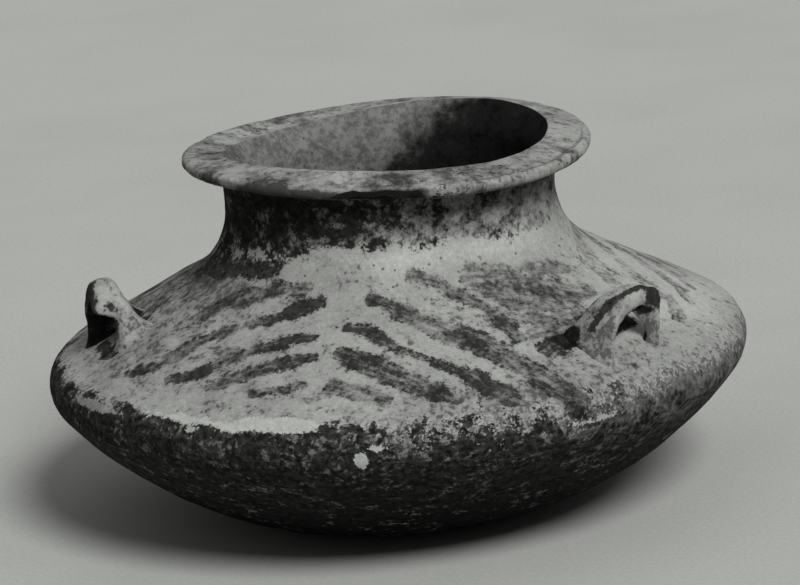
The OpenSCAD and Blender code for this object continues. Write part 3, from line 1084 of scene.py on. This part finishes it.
def pressed(skin, hand):
    """The lug's points with its own feet, back, height, legs and lean"""
    rise, side, inset = skin.rise, skin.side, skin.inset
    up = np.clip(rise, 0, None)
    foot = np.clip(1 - rise / FOOT_HEIGHT, 0, 1) ** FOOT_CURVE
    flat = skin.normals - (skin.normals @ skin.slope_up)[:, None] * skin.slope_up
    spread = np.where(side > 0, *hand["spread"][::-1]) * foot

    recess, back, back_from = [of_legs(hand[name], skin) for name in ("recess", "back", "back_from")]
    low, front = 1 - ease(RECESS_LOW, RECESS_HIGH, rise), 1 - ease(0, RECESS_DEPTH, inset)
    down = np.clip(inset - back_from, 0, None) * (1 - back) - recess * low * front

    left_shift, right_shift = hand["shift"]
    leg = np.where(side > 0, *hand["leg"][::-1])
    along = np.sign(side) * np.clip(np.abs(side) - OPENING_HALF, 0, None) * (leg - 1) + hand["lean"] * up
    along += left_shift * ease(-SHIFT_FROM, -SHIFT_FULL, side)
    along += right_shift * ease(SHIFT_FROM, SHIFT_FULL, side)

    lift = (hand["height"] - 1) * up - FOOT_SINK * foot
    moves = ((lift, skin.slope_up), (down, skin.slope_down), (along, skin.tangent))
    return skin.points + spread[:, None] * flat + sum(far[:, None] * way for far, way in moves)


print(len(LUG_HAND), "lugs, each with its own hand")

# %% [markdown]
# ## Paint and painted shade on the lugs
#
# A dark line runs along each strap's ridge, and the hollow of the arch is darkened as painted shade. One
# lug's face is dark with paint and painted shade, and one has a dark crevice beside its left leg, painted as
# dirt and shade. A lug stands off the unrolled shoulder, so its paint is measured on the lug itself: how far
# in from its face a point is, how high it lies and which way it faces. Ridge, face, hollow, crevice and pit
# say where the paint and painted shade are, slant how the line falls back along the left leg, load how thick
# it is, and foot and side how much darker the lug is there.

# %% Paint the lugs
LUG_LEVELS = {"climb": 50, "slip": WELL_IN, "slip_fade": 2, "neck_wash": -WELL_IN, "wash_fade": 2,
              "wash_load_and_shade": 1, "flake": FAR_OFF}
LUG_LACKS = ("trace", "bare", "across", "run", "flake_load", "stain_and_shade", "mouth_shade", "inner")
RIDGE_HALF, RIDGE_GAIN, OUTER_GAIN = 1.3, 2.2, 8.0
# FACE_TOP and FACE_FALL bound the paint and painted shade on a lug's face.
ARCH_MIDDLE, FACE_TOP, FACE_FALL, LINE_TOP = 6.0, 22.0, 0.5, 18.5
# Painted shade in the hollow of the arch:
HOLLOW_TURNED, HOLLOW_SHADE_GAIN, HALF_DARK = -0.5, 5.0, 0.5
LEFT_FACING, RIGHT_FACING = (-0.3, -0.7), 0.5
# Dirt and painted shade in the crevice beside the left foot:
CREVICE_RAGGED, CREVICE_WAVY = ((2.0, 3, 16),), 1.5
CREVICE_DEEP, CREVICE_SOFT = (9, 14), 4
PAINT_RISE, FOOT_DARKENING, SIDE_DARKENING = (3, 8), (9, 2), (3, 7)
LUG_DIRT, LUG_DRIFT = 0.4, ((0.3, 6, 14),)


def facing_out(skin):
    """1 where the strap faces out of its arch, 0 across it and -1 into the opening"""
    arch = np.stack([skin.side, skin.rise - ARCH_MIDDLE], axis=1)
    facing = np.stack([skin.normals @ skin.tangent, skin.normals @ skin.slope_up], axis=1)
    return np.sum(arch * facing, axis=1) / np.linalg.norm(arch, axis=1)


def lug_dark(skin, points, hand):
    """Painted shade in the arch's hollow, and dirt and painted shade in the crevice by the left foot, 0 to 1
    """
    hollow = ease(0, HOLLOW_TURNED, facing_out(skin)) * ease(*hand["hollow"], skin.rise)
    ragged = layered(points, CREVICE_RAGGED)
    deep = ease(*CREVICE_DEEP, skin.inset + CREVICE_WAVY * ragged)
    low = ease(hand["crevice"], hand["crevice"] - CREVICE_SOFT, skin.rise + ragged)
    return np.maximum(hollow, ease(*LEFT_FACING, skin.normals @ skin.tangent) * deep * low)


def lug_paint(skin, dark, hand):
    """Mm inside the line, the face's paint and shade, the shaded hollow or the pit, whichever is nearest"""
    left_share = of_legs((1, 0), skin)
    ridge = of_legs(hand["ridge"], skin) + left_share * hand["slant"] * np.clip(LINE_TOP - skin.rise, 0, None)
    line = RIDGE_GAIN * (RIDGE_HALF - np.abs(skin.inset - ridge))
    face = np.minimum(hand["face"] - skin.inset, FACE_FALL * (FACE_TOP - skin.rise))
    depth, height, radius = hand["pit"]
    dent = radius - np.hypot(skin.inset - depth, skin.rise - height)
    dent = np.where(skin.normals @ skin.tangent > RIGHT_FACING, dent, FAR_OFF)
    return np.maximum.reduce([np.minimum(line, OUTER_GAIN * facing_out(skin)), face,
                              HOLLOW_SHADE_GAIN * (dark - HALF_DARK), dent])


def lug_marks(skin, points, hand):
    """The same mesh attributes as on the walls, for the lug's points after its handwork"""
    dark = lug_dark(skin, points, hand)
    # Darker towards the feet and on the left-facing side, besides the dirt all over.
    on_left = ease(*LEFT_FACING, skin.normals @ skin.tangent) * ease(*SIDE_DARKENING, skin.rise)
    dirt_and_shading = LUG_DIRT + hand["foot"] * ease(*FOOT_DARKENING, skin.rise) + hand["side"] * on_left
    level = {**dict.fromkeys(LUG_LACKS, 0), **LUG_LEVELS}
    return {
        **{key: np.full(len(points), float(value)) for key, value in level.items()},
        # brush, load and pit also carry painted shade: the hollow of the arch and the crevice by the left
        # foot.
        "brush": lug_paint(skin, dark, hand),
        "load": hand["load"] * np.maximum(ease(*PAINT_RISE, skin.rise), dark),
        "dirt_and_shading": dirt_and_shading + layered(points, LUG_DRIFT),
        "pit": np.maximum(pits(points), dark),
    }


print("a line", 2 * RIDGE_HALF, "mm wide along each ridge")

# %% Place the lugs
LUG_DENTS = ((0.5, 8, 7), (0.2, 3, 8))


def lug(node):
    """A lug with its handwork and paint"""
    mesh = remeshed(node)
    skin, hand = LugSkin(mesh), LUG_HAND[node]
    points = pressed(skin, hand)
    keep_on(mesh, lug_marks(skin, points, hand))
    points = points + layered(points, LUG_DENTS)[:, None] * skin.normals
    mesh.vertices.foreach_set("co", (shaped(points) * MM).ravel())
    mesh.shade_smooth()
    mesh.materials.clear()
    return clay_piece(mesh, node)


lugs = [lug(node) for node in LUG_PIECES]

# %% [markdown]
# ## Fired clay
#
# One surface runs over all the pieces: a dark clay body, a pale slip over its upper half, a dark wash on the
# neck, brushed strokes, and grit, pits and scratches through all of them. Every finish reads the same mesh
# attributes, so the borders cross the seams unbroken. A finish begins with a few noises of different sizes,
# because worn clay is mottled at every scale, and each layer below then mixes them in its own way.

# %% Noises of the clay
CLOUD_MM, GRIME_MM, FLECK_MM, SPECK_MM, FINE_MM, SCRAPE_MM = 34, 7, 1.8, 2.2, 0.9, 2.0
DRAWN_OUT = (0.25, 0.25, 1)
WIDE, SKEWED = (-2, 2), (-1.8, 2)
FINE_TONE, FLECK_TONE, CLAY_CLOUD = (0.94, 1.06), (0.92, 1.07), (0.9, 1.08)
EDGE_WANDER = (0.35, 0.2, 0.15)
SLIP_SOFT = 0.45


class Clay(Finish):
    """A node tree with the noises and the border of slip that its layers share"""

    def __init__(self, tree):
        super().__init__(tree)
        self.place = self.millimetres()
        cloud = self.noise(self.place, CLOUD_MM, detail=3, seed=1)
        self.grime = self.uneven(self.place, GRIME_MM, rough=0.68)
        self.flecks = self.uneven(self.place, FLECK_MM, detail=5, rough=0.68, seed=6)
        self.specks = self.uneven(self.place, SPECK_MM, detail=5, rough=0.68, seed=7)
        self.fine = self.uneven(self.place, FINE_MM, detail=3, rough=0.6, seed=3)
        drawn_out = self.millimetres(DRAWN_OUT)
        self.scraped = self.uneven(drawn_out, SCRAPE_MM, detail=5, rough=0.65, seed=5)
        self.wander = self.weigh(*zip((self.grime, self.flecks, self.fine), EDGE_WANDER))
        self.grain = self.product(self.step(self.fine, *WIDE, *FINE_TONE),
                                  self.step(self.flecks, *WIDE, *FLECK_TONE))
        self.cloudy = self.step(cloud, *CLOUD_RANGE, *CLAY_CLOUD)
        self.slip = self.edge("slip", self.attribute("slip_fade"), SLIP_SOFT)

    def edge(self, distance, fade, soft):
        """0 outside and 1 inside a border whose distance is stored on the mesh, ragged and worn"""
        value = self.maths("DIVIDE", self.attribute(distance), fade)
        return self.step(self.total(value, self.wander), -soft, soft)

    def paler(self, level, factor):
        """A grey at a linear level, made lighter or darker by a factor"""
        return self.tone(grey(level)[:3], factor)


print("noises from", CLOUD_MM, "mm down to", FINE_MM, "mm")

# %% [markdown]
# ## Clay body and slip
#
# The bare body is dark and speckled, and almost black towards the foot, as painted shade under the belly.
# Traces of slip and patches of bare clay lie on it below the border. Above the border the pale slip covers
# it, clouded by the brush, and dirt has settled on it in spots; in places it is lightened as painted light.

# %% Body and slip
BODY_GREY, SLIP_GREY, BARE_GREY, DIRT_GREY = 0.017, 0.29, 0.13, 0.04
# Painted shade under the belly: the body darkens towards the foot between these climbs.
DARK_FOOT, FOOT_TONE = (-60, -10), 0.05
BODY_MOTTLE, BODY_SCRAPED = (0.5, 1.7), (0.8, 1.3)
TRACE_SHOWS, TRACE_COVER, TRACE_TONE = (1.5, 4.0), 0.65, 0.65
BARE_MOST, BARE_SHOWS = 0.9, (0, 0.2)
PAINTED_LIGHT_RANGE, PAINTED_LIGHT_TONE = (-0.6, 0.1), 1.45
SPOT_SHOWS, DIRT_MOST = (1.5, 2.3), 0.8


def clay_body(clay):
    """Colour of the clay with the traces of slip and the bare patches on it"""
    # Painted shade under the belly, darker towards the foot.
    deep = clay.step(clay.attribute("climb"), *DARK_FOOT, FOOT_TONE, 1.0)
    mottle = clay.step(clay.specks, *SKEWED, *BODY_MOTTLE)
    scraped = clay.step(clay.scraped, *SKEWED, *BODY_SCRAPED)
    colour = clay.paler(BODY_GREY, clay.product(deep, mottle, scraped))
    left_over = clay.weigh((clay.flecks, 0.8), (clay.grime, 0.8), (clay.scraped, 0.3),
                           (clay.attribute("trace"), 1.7))
    traces = clay.product(clay.step(left_over, *TRACE_SHOWS), TRACE_COVER)
    colour = clay.mix(traces, colour, grey(TRACE_TONE * SLIP_GREY))
    bare = clay.total(clay.attribute("bare"), clay.weigh((clay.specks, 0.12), (clay.grime, 0.12)))
    cover = clay.product(clay.between(bare, 0.0, BARE_MOST), clay.step(clay.attribute("bare"), *BARE_SHOWS))
    return clay.mix(cover, colour, clay.paler(BARE_GREY, clay.grain))


def slip_over(clay, colour):
    """Pale slip over the colour below, lighter where painted light is, with dirt in spots"""
    # Painted light: the slip is lighter where the dirt value falls below zero.
    painted_light = clay.step(clay.attribute("dirt_and_shading"), *PAINTED_LIGHT_RANGE, PAINTED_LIGHT_TONE, 1.0)
    pale = clay.paler(SLIP_GREY, clay.product(clay.cloudy, clay.grain, painted_light))
    colour = clay.mix(clay.slip, colour, pale)
    gathered = clay.weigh((clay.specks, 0.8), (clay.grime, 0.45), (clay.attribute("dirt_and_shading"), 1.1))
    spots = clay.step(gathered, *SPOT_SHOWS)
    dirt_and_shading = clay.weigh((clay.attribute("dirt_and_shading"), 0.3), (spots, 0.4), (clay.specks, 0.045), (clay.grime, 0.1))
    cover = clay.product(clay.between(dirt_and_shading, 0.0, DIRT_MOST), clay.slip)
    return clay.mix(cover, colour, grey(DIRT_GREY))


print("slip at", SLIP_GREY, "over clay at", BODY_GREY)

# %% [markdown]
# ## Inside, stains and the neck's wash
#
# The inside is a plain mid grey that painted shade turns black on one side. On the ledge, stains soak in as
# blotches, with painted shade on the front of the lip. The neck's wash is the darkest coat, blotched and worn
# through where its load is low, and darker under the rim as painted shade.

# %% Inside and neck
INNER_GREY, STAIN_GREY, WASH_GREY = 0.13, 0.03, 0.008
INNER_COVER, INNER_MOTTLE = 0.97, (1.25, 0.62)
MOUTH_SHADE_SHOWS, MOUTH_SHADE_TONE = (0.05, 0.9), 0.02
BLOTCH_MM, STAIN_LESS, STAIN_MOST, STAIN_SHOWS = 13, -0.08, 0.93, (0, 0.1)
WASH_SOFT, WASH_MOST, WASH_MOTTLE = 0.4, 0.98, (0.5, 2.2)


def inside_over(clay, colour):
    """The inside's grey with its painted shade, and stains, with painted shade on the lip, on the ledge
    outside it
    """
    inner = clay.product(clay.attribute("inner"), INNER_COVER)
    mottle = clay.step(clay.weigh((clay.specks, 0.7), (clay.grime, 0.4)), *WIDE, *INNER_MOTTLE)
    # Painted shade on one side of the mouth's inner wall, black where it is full.
    shade_amount = clay.total(clay.attribute("mouth_shade"), clay.product(clay.grime, 0.07))
    shade_factor = clay.step(shade_amount, *MOUTH_SHADE_SHOWS, 1, MOUTH_SHADE_TONE)
    colour = clay.mix(inner, colour, clay.paler(INNER_GREY, clay.product(mottle, clay.cloudy, shade_factor)))
    blotch = clay.uneven(clay.place, BLOTCH_MM, detail=6, rough=0.6, seed=9)
    # Stain on the ledge, with painted shade on the front of the lip.
    stain_and_shade = clay.weigh((clay.attribute("stain_and_shade"), 0.5), (blotch, 0.2), (clay.grime, 0.08), (clay.specks, 0.06))
    stain_and_shade = clay.between(clay.total(stain_and_shade, STAIN_LESS), 0.0, STAIN_MOST)
    dry = clay.maths("SUBTRACT", 1.0, inner)
    cover = clay.product(stain_and_shade, clay.step(clay.attribute("stain_and_shade"), *STAIN_SHOWS), dry)
    return clay.mix(cover, colour, clay.paler(STAIN_GREY, clay.grain))


def wash_over(clay, colour):
    """The dark wash on the neck, with painted shade under the rim"""
    load = clay.total(clay.attribute("wash_load_and_shade"), clay.weigh((clay.flecks, 0.12), (clay.grime, 0.17)))
    edge = clay.edge("neck_wash", clay.attribute("wash_fade"), WASH_SOFT)
    mottle = clay.step(clay.specks, *SKEWED, *WASH_MOTTLE)
    cover = clay.product(edge, clay.between(load, 0.0, WASH_MOST))
    return clay.mix(cover, colour, clay.paler(WASH_GREY, mottle))


# The mouth's dark side is painted shade.
print("soot, stains and wash ready")

# %% [markdown]
# ## Strokes, flakes and grit
#
# Bristles leave streaks along a stroke, so one noise is drawn out in the stroke's own direction, from the
# place across and along it that the mesh carries. Flakes of slip lie over everything else. Grit shows as
# small dark dots, made with Voronoi cells of which only some are chosen, and pits darken the colour too.

# %% Strokes and grit
PAINT_GREY, FLAKE_GREY = 0.02, 0.36
PAINT_FADE, PAINT_SOFT, PAINT_MORE, PAINT_MOST = 1.3, 0.5, 0.06, 0.97
PAINT_MOTTLE = (0.6, 1.7)
STREAK_STRETCH, STREAK_MM = 0.2, 2.0
FLAKE_FADE, FLAKE_SOFT = 0.8, 0.3
GRIT_MM, GRIT_CHOSEN, GRIT_DOT = 3.4, (0.72, 0.76), (0.17, 0.1)
GRIT_TONE, PIT_TONE, PIT_SHOWS = 0.4, 0.35, (0.1, 0.9)


def strokes_over(clay, colour):
    """Brushed paint and clinging flakes"""
    along = clay.product(clay.attribute("run"), STREAK_STRETCH)
    in_stroke = clay.add("ShaderNodeCombineXYZ", {"X": clay.attribute("across"), "Y": along})
    streak = clay.uneven(in_stroke.outputs["Vector"], STREAK_MM, detail=4, rough=0.6, seed=11)
    worn = clay.weigh((clay.flecks, 0.12), (clay.grime, 0.1), (streak, 0.1))
    load = clay.between(clay.total(clay.attribute("load"), worn, PAINT_MORE), 0.0, PAINT_MOST)
    mottle = clay.step(clay.specks, *SKEWED, *PAINT_MOTTLE)
    paint = clay.product(clay.edge("brush", PAINT_FADE, PAINT_SOFT), load)
    colour = clay.mix(paint, colour, clay.paler(PAINT_GREY, mottle))
    flake = clay.product(clay.edge("flake", FLAKE_FADE, FLAKE_SOFT), clay.attribute("flake_load"))
    return clay.mix(flake, colour, clay.paler(FLAKE_GREY, clay.grain))


def grit_in(clay):
    """1 in a dot of grit and 0 outside"""
    cells = clay.cells(clay.place, GRIT_MM, seed=1)
    chosen = clay.step(cells.outputs["Color"], *GRIT_CHOSEN)
    return clay.product(clay.step(cells.outputs["Distance"], *GRIT_DOT), chosen)


def pitted(clay, colour, grit):
    """The colour, darkened in grit and pits"""
    in_pit = clay.step(clay.attribute("pit"), *PIT_SHOWS, 1, PIT_TONE)
    return clay.tone(colour, clay.product(clay.step(grit, 0, 1, 1, GRIT_TONE), in_pit))


print("strokes, flakes and grit ready")

# %% [markdown]
# ## Lay the finish on the pieces
#
# The layers go on in the order in which the jar got them. Fine bumps come from the same noises, so that what
# looks rough is rough, and the surface is matt. Each slot gets a material of its own, made by the same
# function, because the mesh attributes already say what is where.

# %% Finishes
BUMP_GRIME, BUMP_FLECKS, BUMP_SLIP, BUMP_FINE, BUMP_GRIT = 0.02, 0.006, 0.1, 0.004, -0.15
SHEEN_LEVEL = 0.04
ROUGH_LOW, ROUGH_HIGH = 0.8, 0.95


def clay_finish(slot):
    """The material of one slot"""
    look = bpy.data.materials.new(slot)
    look.use_nodes = True
    clay = Clay(look.node_tree)
    colour = clay_body(clay)
    for layer in (slip_over, inside_over, wash_over, strokes_over):
        colour = layer(clay, colour)
    grit = grit_in(clay)
    colour = pitted(clay, colour, grit)
    height = clay.weigh((clay.grime, BUMP_GRIME), (clay.flecks, BUMP_FLECKS), (clay.slip, BUMP_SLIP),
                        (clay.fine, BUMP_FINE), (grit, BUMP_GRIT))
    bump = clay.add("ShaderNodeBump", {"Height": height, "Distance": MM, "Strength": 1.0})
    shader = look.node_tree.nodes["Principled BSDF"]
    shader.inputs["Specular IOR Level"].default_value = SHEEN_LEVEL
    look.node_tree.links.new(colour, shader.inputs["Base Color"])
    look.node_tree.links.new(clay.step(clay.grime, *WIDE, ROUGH_LOW, ROUGH_HIGH), shader.inputs["Roughness"])
    look.node_tree.links.new(bump.outputs["Normal"], shader.inputs["Normal"])
    return look


slot_of = {bowl: "dark_bowl", coil: "bare_clay", shoulder: "painted_slip", neck: "dark_neck", rim: "rim_slip"}
slot_of.update({piece: "lug_slip" for piece in lugs})
finish_of = {slot: clay_finish(slot) for slot in dict.fromkeys(slot_of.values())}
for piece, slot in slot_of.items():
    piece.data.materials.append(finish_of[slot])
print(len(finish_of), "finishes on", len(slot_of), "pieces")

# %% [markdown]
# ## End
#
# The handwork is meant not to change the jar's size.

# %% Finish
print("done")
